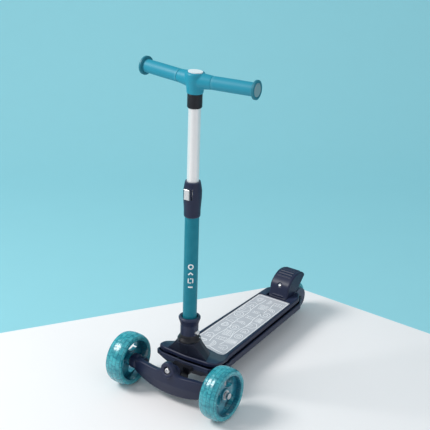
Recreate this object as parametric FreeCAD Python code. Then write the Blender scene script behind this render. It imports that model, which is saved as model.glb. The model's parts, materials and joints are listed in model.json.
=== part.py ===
import FreeCAD, Part

import math
import os

from FreeCAD import Vector as V

# Child's three-wheeled kick scooter that steers by leaning. Millimetres.
# Frame: +X forward, +Y to the rider's left, +Z up. The origin is on the ground, under the
# middle of the overall length.

# ---------------------------------------------------------------- driving dimensions
FRONT_R = 60.0                 # front tyre radius
FRONT_W = 42.0                 # front tyre width
FRONT_X = 235.5                # front axle, from the origin
FRONT_Y = 127.5                # middle plane of each front wheel
REAR_R = 40.0                  # rear tyre radius
REAR_W = 24.0                  # rear tyre width
REAR_X = -255.5                # rear axle, from the origin

DECK_TOP = 70.0                # raised rim around the standing surface
MAT_TOP = 68.0                 # standing surface
MAT_THICK = 1.8
DECK_SEAM = 58.0               # groove between the two deck shells
DECK_BOTTOM = 37.0
DECK_WALL = 3.0
NOSE_TIP_X = 196.0
NOSE_TOP = 91.0
NOSE_SEAM = 81.0
NOSE_BOTTOM = 49.0
DECK_REAR_X = -235.0

COLUMN_LEAN = 2.9              # degrees, leaning back
COLUMN_FOOT = V(179.5, 0, 90)  # a point on the column's axis, at the top of the nose
LOWER_TUBE_R = 15.5
LOWER_TUBE_WALL = 1.5
UPPER_TUBE_R = 13.0
UPPER_TUBE_WALL = 1.4
RUNNING_GAP = 0.08             # radial play of a shaft in its hole
MOVING_GAP = 0.4               # space between bodies that move past each other
HEIGHT_TRAVEL = 120.0          # the handlebar lowers by this much
HEIGHT_STEP = 40.0

BAR_Z = 716.0                  # grip axis where it crosses the column
BAR_SWEEP = 6.3                # degrees, each grip swept back
BAR_RISE = 0.7                 # degrees, each grip rising outward
BAR_HALF = 142.4               # column axis to grip end, along the grip
GRIP_R = 14.2
FLANGE_R = 20.2

PIVOT_TILT = 35.0              # degrees, steering pivot rising toward the front
PIVOT_HEAD = V(263.3, 0, 86.5)   # where the steering pivot leaves the bridge
BRIDGE_FRONT_X = 260.5
BRIDGE_BOW = 12.5              # how far its ends lie behind its middle
BRIDGE_DEPTH = 30.0
BRIDGE_PLATE = 12.0            # thickness of its upright front

BEARING_R = 11.0               # 608 ball bearing
BEARING_BORE_R = 4.0
BEARING_W = 7.0
AXLE_R = 4.0

HINGE_X = -194.0               # pin of the rear brake
HINGE_Z = 57.0
HINGE_PIN_R = 2.5
FENDER_HALF = 26.5
ARM_INNER_Y = 15.2             # rear fork arms
ARM_THICK = 6.3
ARM_END_R = 27.0

os.makedirs("parts", exist_ok=True)


# ---------------------------------------------------------------- helpers
def save(name, shape):
    """Write one node, after checking that it is closed and valid."""
    solids = shape.Solids
    if not solids or not shape.isValid() or min(s.Volume for s in solids) <= 0:
        raise ValueError("bad solid in " + name)
    out = solids[0] if len(solids) == 1 else Part.makeCompound(solids)
    out.exportStep("parts/" + name + ".step")
    print(name, len(solids), round(shape.Volume / 1000, 2), "cm3")


def cyl(radius, z0, z1, x=0.0, y=0.0):
    """Upright cylinder between two heights."""
    return Part.makeCylinder(radius, z1 - z0, V(x, y, z0))


def cyl_y(radius, y0, y1, x, z):
    """Cylinder along Y between two stations."""
    return Part.makeCylinder(radius, y1 - y0, V(x, y0, z), V(0, 1, 0))


def box(x0, x1, y0, y1, z0, z1):
    return Part.makeBox(x1 - x0, y1 - y0, z1 - z0, V(x0, y0, z0))


def face_of(points):
    """Flat face inside a closed run of straight edges."""
    return Part.Face(Part.makePolygon(points + points[:1]))


def revolved(profile):
    """Turn a closed (radius, height) outline about the local Z axis."""
    outline = face_of([V(r, 0, z) for r, z in profile])
    return outline.revolve(V(0, 0, 0), V(0, 0, 1), 360)


def prism_xz(profile, half_width):
    """Extrude an (x, z) outline across the scooter, symmetric about y = 0."""
    outline = face_of([V(x, -half_width, z) for x, z in profile])
    return outline.extrude(V(0, 2 * half_width, 0))


def prism_xy(half_profile, z0, z1):
    """Extrude a plan outline given as its left half, from front to rear."""
    left = [V(x, y, z0) for x, y in half_profile]
    right = [V(x, -y, z0) for x, y in reversed(half_profile) if y > 0]
    return face_of(left + right).extrude(V(0, 0, z1 - z0))


def smooth_face(smooth_points, straight_points):
    """Face bounded by a curve through some points and straight edges back to its start."""
    curve = Part.BSplineCurve()
    curve.interpolate(smooth_points)
    back = [smooth_points[-1]] + straight_points + [smooth_points[0]]
    edges = [curve.toShape()] + Part.makePolygon(back).Edges
    return Part.Face(Part.Wire(edges))


def rounded(shape, radius, test):
    """Round every edge that passes a test of its middle point and direction."""
    chosen = [e for e in shape.Edges if test(edge_middle(e), edge_direction(e))]
    return shape.makeFillet(radius, chosen)


def edge_middle(edge):
    return edge.valueAt((edge.FirstParameter + edge.LastParameter) / 2)


def edge_direction(edge):
    return edge.tangentAt((edge.FirstParameter + edge.LastParameter) / 2)


def mirrored(shape):
    """Copy on the other side of the scooter."""
    return shape.mirror(V(0, 0, 0), V(0, 1, 0))


def placed(shape, base, rotation):
    copy = shape.copy()
    copy.Placement = FreeCAD.Placement(base, rotation).multiply(copy.Placement)
    return copy


def on_column(shape):
    """From the column's own frame (Z up its axis, heights as at no lean) to the scooter's."""
    lift = FreeCAD.Placement(V(0, 0, -COLUMN_FOOT.z), FreeCAD.Rotation())
    lean = FreeCAD.Placement(COLUMN_FOOT, FreeCAD.Rotation(V(0, 1, 0), -COLUMN_LEAN))
    copy = shape.copy()
    copy.Placement = lean.multiply(lift).multiply(copy.Placement)
    return copy


def on_pivot(shape):
    """From the steering pivot's frame (Z toward its head) to the scooter's."""
    return placed(shape, PIVOT_HEAD, FreeCAD.Rotation(V(0, 1, 0), 90 - PIVOT_TILT))


def on_wheel(shape, x, y, z, side):
    """From a wheel's frame (Z outward along the axle) to the scooter's."""
    return placed(shape, V(x, y, z), FreeCAD.Rotation(V(1, 0, 0), -90 * side))


def ring(r_out, r_in, z0, z1):
    return cyl(r_out, z0, z1).cut(cyl(r_in, z0 - 1, z1 + 1))


def hexagon(across_flats, z0, z1):
    """Upright hexagonal bar."""
    radius = across_flats / math.sqrt(3)
    corners = [math.radians(60 * i) for i in range(6)]
    return face_of([V(radius * math.cos(a), radius * math.sin(a), z0) for a in corners]).extrude(
        V(0, 0, z1 - z0)
    )


def pan_screw(head_r, shank_r, length, head_high):
    """Round-headed screw, driven down along -Z, with the head's seat at z = 0."""
    head = revolved([(0, 0), (head_r, 0), (head_r * 0.92, head_high * 0.6),
                     (head_r * 0.55, head_high), (0, head_high)])
    recess = hexagon(head_r * 0.8, head_high * 0.35, head_high + 1)
    return head.cut(recess).fuse(cyl(shank_r, -length, 0))

# ---------------------------------------------------------------- deck shells
DECK_HALF = [                  # plan of the upper shell: left half, front to rear
    (NOSE_TIP_X, 0), (NOSE_TIP_X - 4, 60), (NOSE_TIP_X - 11, 80), (NOSE_TIP_X - 38, 79),
    (108, 59.5), (DECK_REAR_X + 24, 47.5), (DECK_REAR_X, 33),
]
CORNER_ROUNDING = [60, 9, 12, 30, 45, 22, 16]
LOWER_FLARE = 4.5              # the lower shell stands this far outside the upper one
SEAM_GAP = 3.0                 # groove height between the shells


def deck_plan(grow, z0, z1):
    """Plan of the deck, grown outward, with every corner rounded."""
    grown = [(x + (grow if i < 3 else 0) - (grow if x == DECK_REAR_X else 0), y + (grow if y else 0))
             for i, (x, y) in enumerate(DECK_HALF)]
    prism = prism_xy(grown, z0, z1)
    for (x, y), radius in zip(grown, CORNER_ROUNDING):
        prism = rounded(prism, radius, lambda m, d: abs(d.z) > 0.99
                        and abs(m.x - x) < 0.1 and abs(abs(m.y) - y) < 0.1)
    return prism


def side_band(rear_low, rear_high, nose_low, nose_high):
    """Side view of a deck layer that climbs onto the nose, as a wide slab."""
    low = [(DECK_REAR_X - 30, rear_low), (118, rear_low), (158, nose_low - 3),
           (NOSE_TIP_X + 8, nose_low)]
    high = [(NOSE_TIP_X + 8, nose_high), (168, nose_high - 3), (118, rear_high),
            (DECK_REAR_X - 30, rear_high)]
    slab = prism_xz(low + high, 120)
    for x, radius in ((118, 60), (158, 50), (168, 40)):
        slab = rounded(slab, radius, lambda m, d: abs(d.y) > 0.99 and abs(m.x - x) < 0.1)
    return slab


def soften_rim(shell, top_radius, bottom_radius):
    """Round the edges where a shell's top and bottom faces meet its sides."""
    for facing, radius in ((1, top_radius), (-1, bottom_radius)):
        chosen = []
        for edge in shell.Edges:
            middle = edge_middle(edge)
            rises = [facing * face.normalAt(*face.Surface.parameter(middle)).z
                     for face in shell.ancestorsOfType(edge, Part.Face)]
            if len(rises) == 2 and max(rises) > 0.6 and min(map(abs, rises)) < 0.3:
                chosen.append(edge)
        shell = shell.makeFillet(radius, chosen)
    return shell


def level_loft(sections):
    """Straight-sided body through level outlines, each given as (height, left half)."""
    wires = []
    for z, half in sections:
        left = [V(x, y, z) for x, y in half]
        right = [V(x, -y, z) for x, y in reversed(half) if y > 0]
        wires.append(Part.makePolygon(left + right + left[:1]))
    return Part.makeLoft(wires, True, True)


BOWL = [                       # the nose draws in toward its bottom like the bow of a boat
    (30, [(180, 0), (177, 34), (168, 46), (148, 54), (108, 64), (-300, 64)]),
    (49, [(193, 0), (190, 40), (180, 53), (153, 60), (108, 66), (-300, 66)]),
    (62, [(199, 0), (195, 58), (186, 70), (156, 70), (108, 72), (-300, 72)]),
    (72, [(203, 0), (199, 68), (193, 88), (156, 88), (108, 90), (-300, 90)]),
    (115, [(203, 0), (199, 68), (193, 88), (156, 88), (108, 90), (-300, 90)]),
]


def nose_bowl(inset):
    """Space inside the nose's tapering sides, drawn in by an inset."""
    return level_loft([(z, [(x - (inset if x > 0 else 0), y - (inset if y > 0 else 0))
                            for x, y in half]) for z, half in BOWL])


# Holes and rooms shared by several parts
SOCKET_R = 20.0
SOCKET_NECK_R = 17.3           # where the socket passes down inside its housing
SOCKET_FOOT_Z = 108.0
socket_room = on_column(cyl(SOCKET_NECK_R, SOCKET_FOOT_Z - 1, 150))
wheel_room = box(DECK_REAR_X - 20, REAR_X + REAR_R + 5, -ARM_INNER_Y - ARM_THICK,
                 ARM_INNER_Y + ARM_THICK, 20, 110)
fork_room = box(DECK_REAR_X - 20, HINGE_X + 12, -ARM_INNER_Y - ARM_THICK,
                ARM_INNER_Y + ARM_THICK, DECK_BOTTOM + DECK_WALL, 110)
fender_room = box(DECK_REAR_X - 20, HINGE_X + 16, -FENDER_HALF - 1.5, FENDER_HALF + 1.5,
                  DECK_SEAM + 2, 110)
SCREW_SPOTS = [(x, y) for x in (-165, -80, 20, 100) for y in (-36, 36)]

upper_outer = soften_rim(deck_plan(0, 30, 110).common(
    side_band(DECK_SEAM, DECK_TOP, NOSE_SEAM, NOSE_TOP)), 3.5, 1.5)
upper_inner = deck_plan(-DECK_WALL, 20, 110).common(
    side_band(DECK_SEAM - 20, DECK_TOP - 7, NOSE_SEAM - 20, NOSE_TOP - 5))
lower_outer = soften_rim(deck_plan(LOWER_FLARE, 20, 110).common(
    side_band(DECK_BOTTOM, DECK_SEAM - SEAM_GAP, NOSE_BOTTOM, NOSE_SEAM - SEAM_GAP)), 1.5, 6)
lower_outer = lower_outer.common(nose_bowl(0))
lower_inner = deck_plan(LOWER_FLARE - DECK_WALL, 20, 110).common(
    side_band(DECK_BOTTOM + DECK_WALL, DECK_TOP + 20, NOSE_BOTTOM + DECK_WALL, NOSE_TOP + 20))
lower_inner = lower_inner.common(nose_bowl(DECK_WALL + 1))

# Grip mat: lies in a shallow pocket, its front corners cut away beside the column housing
MAT_REAR_X = -176.0
mat_plan = [(112, 0), (118, 24), (122, 40), (118, 49.5), (110, 51.5), (MAT_REAR_X + 4, 45.5),
            (MAT_REAR_X, 41)]
mat_pocket = prism_xy(mat_plan, MAT_TOP - MAT_THICK, DECK_TOP + 5)
mat_slab = prism_xy(mat_plan, MAT_TOP - MAT_THICK, MAT_TOP)
mat = rounded(mat_slab, 3, lambda m, d: abs(d.z) > 0.99 and abs(m.y) > 30)
mat_pocket = rounded(mat_pocket, 3, lambda m, d: abs(d.z) > 0.99 and abs(m.y) > 30)
save("deck_grip_mat", mat)

# Kingpin block: a shield under the nose with a round boss that carries the steering pivot
BOSS_R = 19.0
BOSS_TOP = -34.0               # its front face, measured along the pivot from the head
block_front = [V(150, 27, 72), V(150, 25, 62), V(150, 16, 50), V(150, 8, 42)]
block_outline = block_front + [V(p.x, -p.y, p.z) for p in reversed(block_front)]
block = face_of(block_outline).extrude(V(62, 0, 0))
block = rounded(block, 4, lambda m, d: abs(d.x) > 0.99)
boss = on_pivot(cyl(BOSS_R, -66, BOSS_TOP))
block = block.fuse(boss.cut(box(100, 300, -60, 60, 72, 200))).removeSplitter()
kingpin_hole = on_pivot(cyl(AXLE_R + RUNNING_GAP, -80, 10))
cushion_room = on_pivot(cyl(13.0, BOSS_TOP - 5, BOSS_TOP + 20))
nut_room = on_pivot(hexagon(13.2, -90, -58))
block_hull = block.copy()
block = block.cut(kingpin_hole).cut(cushion_room).cut(nut_room)
save("kingpin_block", block)

# Lower shell: an open tray with two keels and a front wall let in around the kingpin block
lower = lower_outer.cut(lower_inner)
keels = [box(DECK_REAR_X + 50, 130, y - 1.2, y + 1.2, DECK_BOTTOM + 1, DECK_SEAM - SEAM_GAP)
         for y in (-20, 20)]
cross_ribs = [box(x - 1.2, x + 1.2, -50, 50, DECK_BOTTOM + 1, DECK_BOTTOM + 12)
              for x in (-120, -30, 60)]
lower = lower.multiFuse(keels + cross_ribs)
screw_holes = [cyl(2.2, 30, 60, x, y) for x, y in SCREW_SPOTS]
screw_sinks = [Part.makeCone(4.4, 2.2, 2.2, V(x, y, DECK_BOTTOM)) for x, y in SCREW_SPOTS]
lower = lower.cut(Part.makeCompound(screw_holes)).cut(Part.makeCompound(screw_sinks))
lower = lower.cut(block_hull).cut(wheel_room).cut(fork_room)

# Upper shell: rim, pocket for the mat and posts that the underside screws go up into
upper = upper_outer.cut(upper_inner)
posts = [cyl(4.5, DECK_BOTTOM + DECK_WALL, DECK_TOP - 5, x, y) for x, y in SCREW_SPOTS]
upper = upper.multiFuse(posts).cut(mat_pocket)
upper = upper.cut(Part.makeCompound([cyl(1.6, 30, 58, x, y) for x, y in SCREW_SPOTS]))
upper = upper.cut(wheel_room).cut(fork_room).cut(fender_room)
lower = lower.cut(upper)
save("deck_lower_shell", max(lower.Solids, key=lambda s: s.Volume))
save("deck_upper_shell", max(upper.Solids, key=lambda s: s.Volume))

underside_screws = []
for x, y in SCREW_SPOTS:
    sunk_head = Part.makeCone(4.2, 1.5, 2.2)
    screw = sunk_head.fuse(cyl(1.5, 0, 18)).cut(hexagon(3, -1, 1))
    underside_screws.append(placed(screw, V(x, y, DECK_BOTTOM + 0.1), FreeCAD.Rotation()))
save("underside_screws", Part.makeCompound(underside_screws))

# ---------------------------------------------------------------- column housing and socket
RING_Z = 125.0
HOUSE_MIDDLE_X = 168.0
HOUSE = [                      # level outlines of the housing, from its foot to its neck
    (66, [(193, 12), (187, 55), (160, 50), (136, 34), (126, 14)]),
    (90, [(193, 12), (187, 53), (163, 41), (143, 26), (134, 12)]),
    (108, [(198.5, 10), (189, 36), (168, 31), (150, 18), (144, 8)]),
    (RING_Z, [(204, 9), (194, 22), (176, 25.5), (161, 20), (152, 8)]),
]
ROOM_SCALE = 0.88              # the hollow inside, against the outlines
housing = level_loft(HOUSE[:3]).fuse(level_loft(HOUSE[2:]))
house_room = [(z if z < 100 else 103, [(HOUSE_MIDDLE_X + (x - HOUSE_MIDDLE_X) * ROOM_SCALE,
                                        y * ROOM_SCALE) for x, y in half])
              for z, half in HOUSE[:3]]
under_housing = side_band(20, DECK_TOP, 20, NOSE_TOP)
ring_seat = on_column(cyl(32, RING_Z + 0.85, 200))
housing = housing.cut(level_loft(house_room)).cut(under_housing).cut(socket_room).cut(ring_seat)

# Column socket: holds the lower tube; its flared collar sits on the housing
LIP_Z = 165.0
LIP_TOP = 182.0
TUBE_FOOT_Z = 110.0
collar_flare = on_column(revolved([
    (SOCKET_R + 0.1, RING_Z + 0.9), (26, RING_Z + 0.9), (26, RING_Z + 4), (22.5, RING_Z + 9),
    (SOCKET_R + 0.1, RING_Z + 15)]))
ring_screws = []
for angle in (-69, 111):
    spot = V(23.4 * math.cos(math.radians(angle)), 23.4 * math.sin(math.radians(angle)), RING_Z + 6)
    ring_screws.append(on_column(placed(pan_screw(2.4, 1.2, 10, 1.8), spot, FreeCAD.Rotation())))
ring_screws = Part.makeCompound(ring_screws)
screw_wells = [on_column(cyl(2.7, RING_Z + 6, RING_Z + 20, 23.4 * math.cos(math.radians(a)),
                             23.4 * math.sin(math.radians(a)))) for a in (-69, 111)]
save("housing_ring", collar_flare.cut(ring_screws).cut(Part.makeCompound(screw_wells)))
save("ring_screws", ring_screws)
housing = housing.cut(ring_screws)
save("column_housing", max(housing.Solids, key=lambda s: s.Volume))

BUTTON_Z = 147.0
BUTTON_R = 6.0
BUTTON_TRAVEL = 3.0
socket = on_column(revolved([
    (LOWER_TUBE_R + 0.02, SOCKET_FOOT_Z), (SOCKET_NECK_R, SOCKET_FOOT_Z),
    (SOCKET_NECK_R, RING_Z + 0.9), (SOCKET_R, RING_Z + 0.9), (SOCKET_R, LIP_Z - 2),
    (SOCKET_R + 1.5, LIP_Z + 4), (24.2, LIP_TOP - 5), (24.2, LIP_TOP - 2), (22.6, LIP_TOP), (18.5, LIP_TOP),
    (LOWER_TUBE_R + 0.6, LIP_TOP - 4), (LOWER_TUBE_R + 0.02, LIP_TOP - 8)]))
button_way = on_column(Part.makeCylinder(BUTTON_R + MOVING_GAP, 40, V(0, 8, BUTTON_Z), V(0, 1, 0)))
save("column_socket", socket.cut(button_way))

# ---------------------------------------------------------------- column tubes and height lock
CLAMP_Z = 419.0
CLAMP_TOP = 498.0
LOWER_TUBE_TOP = 452.0
UPPER_TUBE_FOOT = 305.0
COLLAR_Z = 659.0
COLLAR_TOP = 689.0
lower_tube = ring(LOWER_TUBE_R, LOWER_TUBE_R - LOWER_TUBE_WALL, TUBE_FOOT_Z, LOWER_TUBE_TOP)
save("lower_tube", on_column(lower_tube).cut(button_way))

push_button = Part.makeCylinder(BUTTON_R, 14.5, V(0, 9.5, BUTTON_Z), V(0, 1, 0))
push_button = rounded(push_button, 1.8, lambda m, d: m.y > 23.9)
save("socket_button", on_column(push_button))
button_spring = [Part.makeTorus(4.0, 0.45, V(0, y, BUTTON_Z), V(0, 1, 0))
                 for y in (-8.5, -5.5, -2.5, 0.5, 3.5, 5.6)]
seat = cyl(LOWER_TUBE_R - LOWER_TUBE_WALL, BUTTON_Z - 9, BUTTON_Z + 9)
seat = seat.cut(Part.makeCylinder(BUTTON_R + MOVING_GAP, 40, V(0, -9.5, BUTTON_Z), V(0, 1, 0)))
save("button_seat", on_column(seat))
save("button_spring", on_column(Part.makeCompound(button_spring)))

clamp_profile = [
    (LOWER_TUBE_R + 0.02, CLAMP_Z), (17, CLAMP_Z), (17.8, CLAMP_Z + 2), (17.9, CLAMP_Z + 14),
    (19, CLAMP_Z + 30), (20, CLAMP_Z + 44), (20.1, CLAMP_Z + 58), (18.6, CLAMP_Z + 68),
    (17.2, CLAMP_TOP - 3), (16.4, CLAMP_TOP), (UPPER_TUBE_R + 0.3, CLAMP_TOP),
    (UPPER_TUBE_R + 0.3, CLAMP_TOP - 5), (17.2, CLAMP_TOP - 7), (17.2, LOWER_TUBE_TOP),
    (LOWER_TUBE_R + 0.02, LOWER_TUBE_TOP)]
clamp = revolved(clamp_profile)
KEY_Z0 = 461.0
KEY_Z1 = 485.0
KEY_HALF = 7.0
KEY_FACE_X = 23.4
KEY_TRAVEL = 1.5
key_well = box(10, 30, -KEY_HALF - MOVING_GAP, KEY_HALF + MOVING_GAP, KEY_Z0 - MOVING_GAP,
               KEY_Z1 + MOVING_GAP)
grip_slot = box(12.5, 24, KEY_HALF + 2.2, KEY_HALF + 4.4, KEY_Z0, KEY_Z1)
save("height_clamp", on_column(clamp.cut(key_well).cut(grip_slot)))

# The key's yoke passes around the upper tube, so pressing the key draws the stub behind the
# tube backward, out of the height holes
YOKE_Z0 = 471.5
YOKE_Z1 = 478.5
YOKE_R = 16.9
key = rounded(box(15.2, KEY_FACE_X, -KEY_HALF, KEY_HALF, KEY_Z0, KEY_Z1), 2.0,
              lambda m, d: m.x > KEY_FACE_X - 0.1)
yoke = cyl(YOKE_R, YOKE_Z0, YOKE_Z1).common(cyl(YOKE_R, YOKE_Z0, YOKE_Z1, KEY_TRAVEL))
for shift in (0, KEY_TRAVEL):
    yoke = yoke.cut(cyl(UPPER_TUBE_R + MOVING_GAP, YOKE_Z0 - 1, YOKE_Z1 + 1, shift))
stub = Part.makeCylinder(2.5, 1.8, V(-15.2, 0, 475), V(1, 0, 0))
save("height_key", on_column(yoke.fuse(key).fuse(stub).removeSplitter()))

tube_holes = [Part.makeCylinder(3.0, 8, V(-18, 0, 475 - i * HEIGHT_STEP), V(1, 0, 0))
              for i in range(int(HEIGHT_TRAVEL / HEIGHT_STEP) + 1)]
upper_tube = ring(UPPER_TUBE_R, UPPER_TUBE_R - UPPER_TUBE_WALL, UPPER_TUBE_FOOT, COLLAR_TOP + 4)
upper_tube = upper_tube.cut(Part.makeCompound(tube_holes))
save("upper_tube", on_column(upper_tube))
foot_bush = ring(LOWER_TUBE_R - LOWER_TUBE_WALL - RUNNING_GAP, UPPER_TUBE_R,
                 UPPER_TUBE_FOOT + 4, UPPER_TUBE_FOOT + 24)
foot_plug = cyl(UPPER_TUBE_R - UPPER_TUBE_WALL, UPPER_TUBE_FOOT, UPPER_TUBE_FOOT + 14)
foot_plug = foot_plug.fuse(cyl(UPPER_TUBE_R, UPPER_TUBE_FOOT - 3, UPPER_TUBE_FOOT))
save("tube_foot_bush", on_column(foot_bush))
save("tube_foot_plug", on_column(foot_plug.removeSplitter()))
top_bush = ring(LOWER_TUBE_R - LOWER_TUBE_WALL, UPPER_TUBE_R + RUNNING_GAP,
                LOWER_TUBE_TOP - 24, LOWER_TUBE_TOP)
top_bush = top_bush.fuse(ring(16.8, UPPER_TUBE_R + RUNNING_GAP, LOWER_TUBE_TOP,
                              LOWER_TUBE_TOP + 2))
save("tube_top_bush", on_column(top_bush.removeSplitter()))

# ---------------------------------------------------------------- handlebar
collar = revolved([
    (UPPER_TUBE_R, COLLAR_Z), (14.6, COLLAR_Z), (15.8, COLLAR_Z + 2), (15.8, COLLAR_TOP - 1),
    (15.2, COLLAR_TOP), (UPPER_TUBE_R, COLLAR_TOP)])
save("bar_collar", on_column(collar))

BAR_X = -(BAR_Z - COLUMN_FOOT.z) * math.sin(math.radians(COLUMN_LEAN))
BAR_CENTRE = V(COLUMN_FOOT.x + BAR_X, 0, BAR_Z)


def on_bar(shape, side):
    """From a grip's frame (Z outward from the column) to the scooter's."""
    sweep = math.radians(BAR_SWEEP)
    rise = math.radians(BAR_RISE)
    out = V(-math.sin(sweep), side * math.cos(sweep) * math.cos(rise), math.sin(rise))
    return placed(shape, BAR_CENTRE, FreeCAD.Rotation(V(0, 0, 1), out))


FLANGE_W = 5.7
GRIP_START = 42.0
GRIP_SEAT_R = 11.0
BADGE_HIGH = 736.0
stem = on_column(revolved([
    (0, COLLAR_TOP), (16.6, COLLAR_TOP), (17.4, COLLAR_TOP + 2), (18.6, COLLAR_TOP + 16),
    (20.5, COLLAR_TOP + 30), (20.5, BADGE_HIGH - 6), (18.5, BADGE_HIGH - 2),
    (0, BADGE_HIGH - 1.2)]))
arms = [on_bar(Part.makeCone(18.2, GRIP_R, GRIP_START, V(0, 0, 0), V(0, 0, 1)).fuse(
        cyl(GRIP_SEAT_R, 0, BAR_HALF - FLANGE_W - 2)), side) for side in (1, -1)]
tee = stem.multiFuse(arms).removeSplitter()
core_room = [on_bar(cyl(8.0, 0, BAR_HALF), side) for side in (1, -1)]
tube_top_room = on_column(cyl(UPPER_TUBE_R, COLLAR_TOP - 5, COLLAR_TOP + 4))
BADGE_LONG = 16.5
BADGE_WIDE = 13.0
badge_outline = Part.Ellipse(V(0, 0, 0), BADGE_LONG, BADGE_WIDE)
badge_face = Part.Face(Part.Wire(badge_outline.toShape()))
badge_face.rotate(V(0, 0, 0), V(0, 0, 1), 90)
badge_face.translate(V(0, 0, BADGE_HIGH - 3.2))
badge = on_column(badge_face.extrude(V(0, 0, 2.8)))
tee = tee.cut(Part.makeCompound(core_room)).cut(tube_top_room).cut(badge)
save("t_bar", tee)
save("top_badge", badge)
cores = [on_bar(ring(8.0, 6.6, 0, BAR_HALF - FLANGE_W - 2), side) for side in (1, -1)]
core = cores[0].fuse(cores[1]).cut(Part.makeCompound([on_bar(cyl(6.6, -9, 60), s) for s in (1, -1)]))
save("bar_core", core.removeSplitter())
for name, side in (("left", 1), ("right", -1)):
    grip_end = BAR_HALF - FLANGE_W - 1
    grip = revolved([(GRIP_SEAT_R + 0.02, GRIP_START + 0.05), (GRIP_R, GRIP_START + 0.05),
                     (GRIP_R + 0.2, GRIP_START + 50), (GRIP_R, grip_end),
                     (GRIP_SEAT_R + 0.02, grip_end)])
    save(name + "_grip", on_bar(grip, side))
    flange = revolved([(14.6, grip_end), (17.6, grip_end), (FLANGE_R, grip_end + 1.8),
                       (FLANGE_R, BAR_HALF - 1), (FLANGE_R - 1.4, BAR_HALF), (14.6, BAR_HALF)])
    web = ring(14.6, 8.0, grip_end, grip_end + 2)
    save(name + "_grip_flange", on_bar(flange.fuse(web).removeSplitter(), side))
    cap = revolved([(0, grip_end + 2), (14.5, grip_end + 2), (14.5, BAR_HALF - 0.8),
                    (13.4, BAR_HALF - 0.1), (0, BAR_HALF - 0.1)])
    spigot = cyl(6.6, grip_end - 14, grip_end + 2)
    save(name + "_end_cap", on_bar(cap.fuse(spigot).removeSplitter(), side))

# ---------------------------------------------------------------- front truck
# Bridge: front view outline cut to a bowed plate, with a lower, deeper body behind it
HUMP_TOP = 102.0
bridge_left = [(17.5, 88), (21.5, 80), (28, 76.5), (40, 75.5), (60, 76), (82, 75.5), (101, 74)]
bridge_low = [(101, 43), (90, 36.5), (75, 30.5), (55, 25), (30, 21), (0, 19.5)]


def mirrored_points(points):
    """The same outline points on the scooter's other side, in the reverse order."""
    return [V(p.x, -p.y, p.z) for p in reversed(points)]


def curve_through(points):
    curve = Part.BSplineCurve()
    curve.interpolate(points)
    return curve.toShape()


def bow_slab(back):
    """Upright slab between the bridge's bowed front and a face this far behind it."""
    ends = BRIDGE_FRONT_X - BRIDGE_BOW
    corners = [V(ends, -101, -40), V(ends, 101, -40), V(ends - back, 101, -40),
               V(ends - back, -101, -40)]
    front = Part.Arc(corners[0], V(BRIDGE_FRONT_X, 0, -40), corners[1])
    rear = Part.Arc(corners[2], V(BRIDGE_FRONT_X - back, 0, -40), corners[3])
    wire = Part.Wire([front.toShape(), Part.makeLine(corners[1], corners[2]), rear.toShape(),
                      Part.makeLine(corners[3], corners[0])])
    return Part.Face(wire).extrude(V(0, 0, 180))


arm_top = [V(200, y, z) for y, z in bridge_left]
arm_low = [V(200, y, z) for y, z in bridge_low]
hump = Part.Arc(mirrored_points(arm_top)[-1], V(200, 0, HUMP_TOP), arm_top[0])
bridge_wire = Part.Wire([
    hump.toShape(), curve_through(arm_top), Part.makeLine(arm_top[-1], arm_low[0]),
    curve_through(arm_low + mirrored_points(arm_low)[1:]),
    Part.makeLine(mirrored_points(arm_low)[-1], mirrored_points(arm_top)[0]),
    curve_through(mirrored_points(arm_top))])
front_view = Part.Face(bridge_wire).extrude(V(70, 0, 0))
BODY_DROP = 17.0               # the body behind the plate is this much lower on top
lowered_view = front_view.copy()
lowered_view.translate(V(0, 0, -BODY_DROP))
TUCK_Z = 50.0                  # below this the front face runs back under the bridge
TUCK_ANGLE = 13.0
tuck = bow_slab(80)
tuck.rotate(V(BRIDGE_FRONT_X, 0, TUCK_Z), V(0, 1, 0), TUCK_ANGLE)
plate = front_view.common(bow_slab(BRIDGE_PLATE)).common(tuck)
BRIDGE_ROUNDING = 3.0


def on_plate_front(middle):
    """Whether a point lies on the upright front of the plate."""
    bowed = BRIDGE_FRONT_X - BRIDGE_BOW * (middle.y / 101) ** 2
    return abs(middle.y) < 99.5 and middle.x > bowed - 1.5 and middle.z > TUCK_Z + 5


plate = rounded(plate, BRIDGE_ROUNDING, lambda m, d: on_plate_front(m))
body = front_view.common(lowered_view).common(bow_slab(BRIDGE_DEPTH)).common(tuck)
spindle_bosses = [cyl_y(14.0, 80, 99, FRONT_X, FRONT_R), cyl_y(14.0, -99, -80, FRONT_X, FRONT_R),
                  cyl_y(17.0, 99, 113.6, FRONT_X, FRONT_R),
                  cyl_y(17.0, -113.6, -99, FRONT_X, FRONT_R)]
PIVOT_BOSS_R = 15.5
pivot_boss = on_pivot(cyl(PIVOT_BOSS_R, BOSS_TOP + MOVING_GAP, -5))
bridge = plate.multiFuse([body, pivot_boss] + spindle_bosses).removeSplitter()
PIVOT_BUSH_R = 8.0
pivot_swing = on_pivot(cyl(BOSS_R + 1.2, -90, BOSS_TOP + MOVING_GAP))
head_well = on_pivot(cyl(8.0, -7, 40))
bush_way = on_pivot(cyl(PIVOT_BUSH_R, BOSS_TOP - 5, 10))
bridge = bridge.cut(pivot_swing).cut(head_well).cut(bush_way)
SPINDLE_IN = 84.0
spindles = {}
for name, side in (("left", 1), ("right", -1)):
    head = cyl(9.0, SPINDLE_IN, SPINDLE_IN + 6)
    shank = cyl(AXLE_R, SPINDLE_IN + 6, FRONT_Y + 20.4)
    spindle = head.fuse(shank).removeSplitter()
    spindles[name] = placed(spindle, V(FRONT_X, 0, FRONT_R), FreeCAD.Rotation(V(1, 0, 0), -90 * side))
    bridge = bridge.cut(spindles[name])
save("front_bridge", max(bridge.Solids, key=lambda s: s.Volume))
save("front_spindles", Part.makeCompound(list(spindles.values())))

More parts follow.
